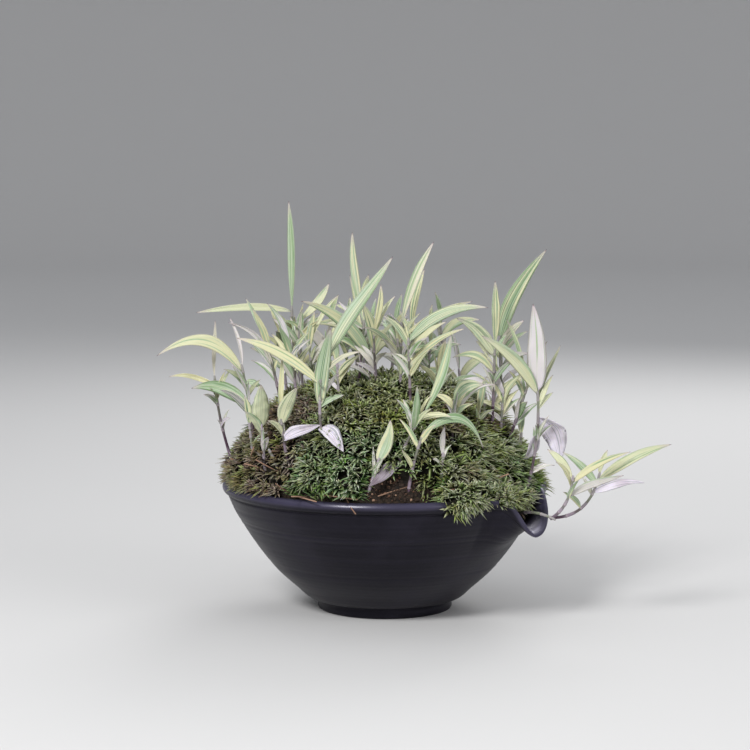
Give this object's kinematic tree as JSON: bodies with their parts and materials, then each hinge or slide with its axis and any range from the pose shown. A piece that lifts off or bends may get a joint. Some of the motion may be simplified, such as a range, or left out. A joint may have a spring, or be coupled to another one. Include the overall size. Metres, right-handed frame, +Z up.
{
  "type": "potted bamboo bonsai",
  "caption": "Dwarf striped bamboo with thin upright culms, growing from a mossy hill in a round black stoneware bowl with a pouring lip.",
  "frame": {"origin": "centre of the bowl's flat foot, on the surface that it rests on", "axes": "+Z up along the bowl's axis, +X towards the side that the trailing shoot leans to, front towards -Y"},
  "size_m": [0.337, 0.2209, 0.277],
  "materials": {
    "stoneware": "satin black stoneware with fine throwing rings",
    "soil": "matte damp soil with clay grains",
    "moss": "matte living moss",
    "bamboo": "satin leaves and culms, cream with green stripes"
  },
  "bodies": {
    "root": {"bowl": "stoneware", "culm_stub_left": "bamboo", "culm_stub_right": "bamboo", "moss_back_left": "moss", "moss_back_right": "moss", "moss_front": "moss", "moss_front_upper": "moss", "moss_left": "moss", "moss_mound": "moss", "moss_right": "moss", "moss_right_upper": "moss", "shoot_back_01": "bamboo", "shoot_back_02": "bamboo", "shoot_back_03": "bamboo", "shoot_back_04": "bamboo", "shoot_back_05": "bamboo", "shoot_back_06": "bamboo", "shoot_back_07": "bamboo", "shoot_back_08": "bamboo", "shoot_back_09": "bamboo", "shoot_back_10": "bamboo", "shoot_back_11": "bamboo", "shoot_back_12": "bamboo", "shoot_back_13": "bamboo", "shoot_back_14": "bamboo", "shoot_bud": "bamboo", "shoot_centre_1": "bamboo", "shoot_centre_2": "bamboo", "shoot_centre_3": "bamboo", "shoot_centre_4": "bamboo", "shoot_centre_5": "bamboo", "shoot_centre_6": "bamboo", "shoot_centre_7": "bamboo", "shoot_front_arched": "bamboo", "shoot_front_curled": "bamboo", "shoot_front_left": "bamboo", "shoot_front_short": "bamboo", "shoot_left_arching": "bamboo", "shoot_left_dry_leaf": "bamboo", "shoot_left_edge": "bamboo", "shoot_left_front": "bamboo", "shoot_right_1": "bamboo", "shoot_right_2": "bamboo", "shoot_right_3": "bamboo", "shoot_right_4": "bamboo", "shoot_right_5": "bamboo", "shoot_right_edge": "bamboo", "shoot_right_folded": "bamboo", "shoot_tall": "bamboo", "shoot_trailing": "bamboo", "shoot_upper_left_1": "bamboo", "shoot_upper_left_2": "bamboo", "shoot_upper_left_3": "bamboo", "shoot_upper_left_4": "bamboo", "shoot_upper_left_5": "bamboo", "soil": "soil", "sprout_crown_left": "bamboo", "sprout_crown_right": "bamboo", "sprout_left": "bamboo", "sprout_right": "bamboo"}
  },
  "joints": []
}
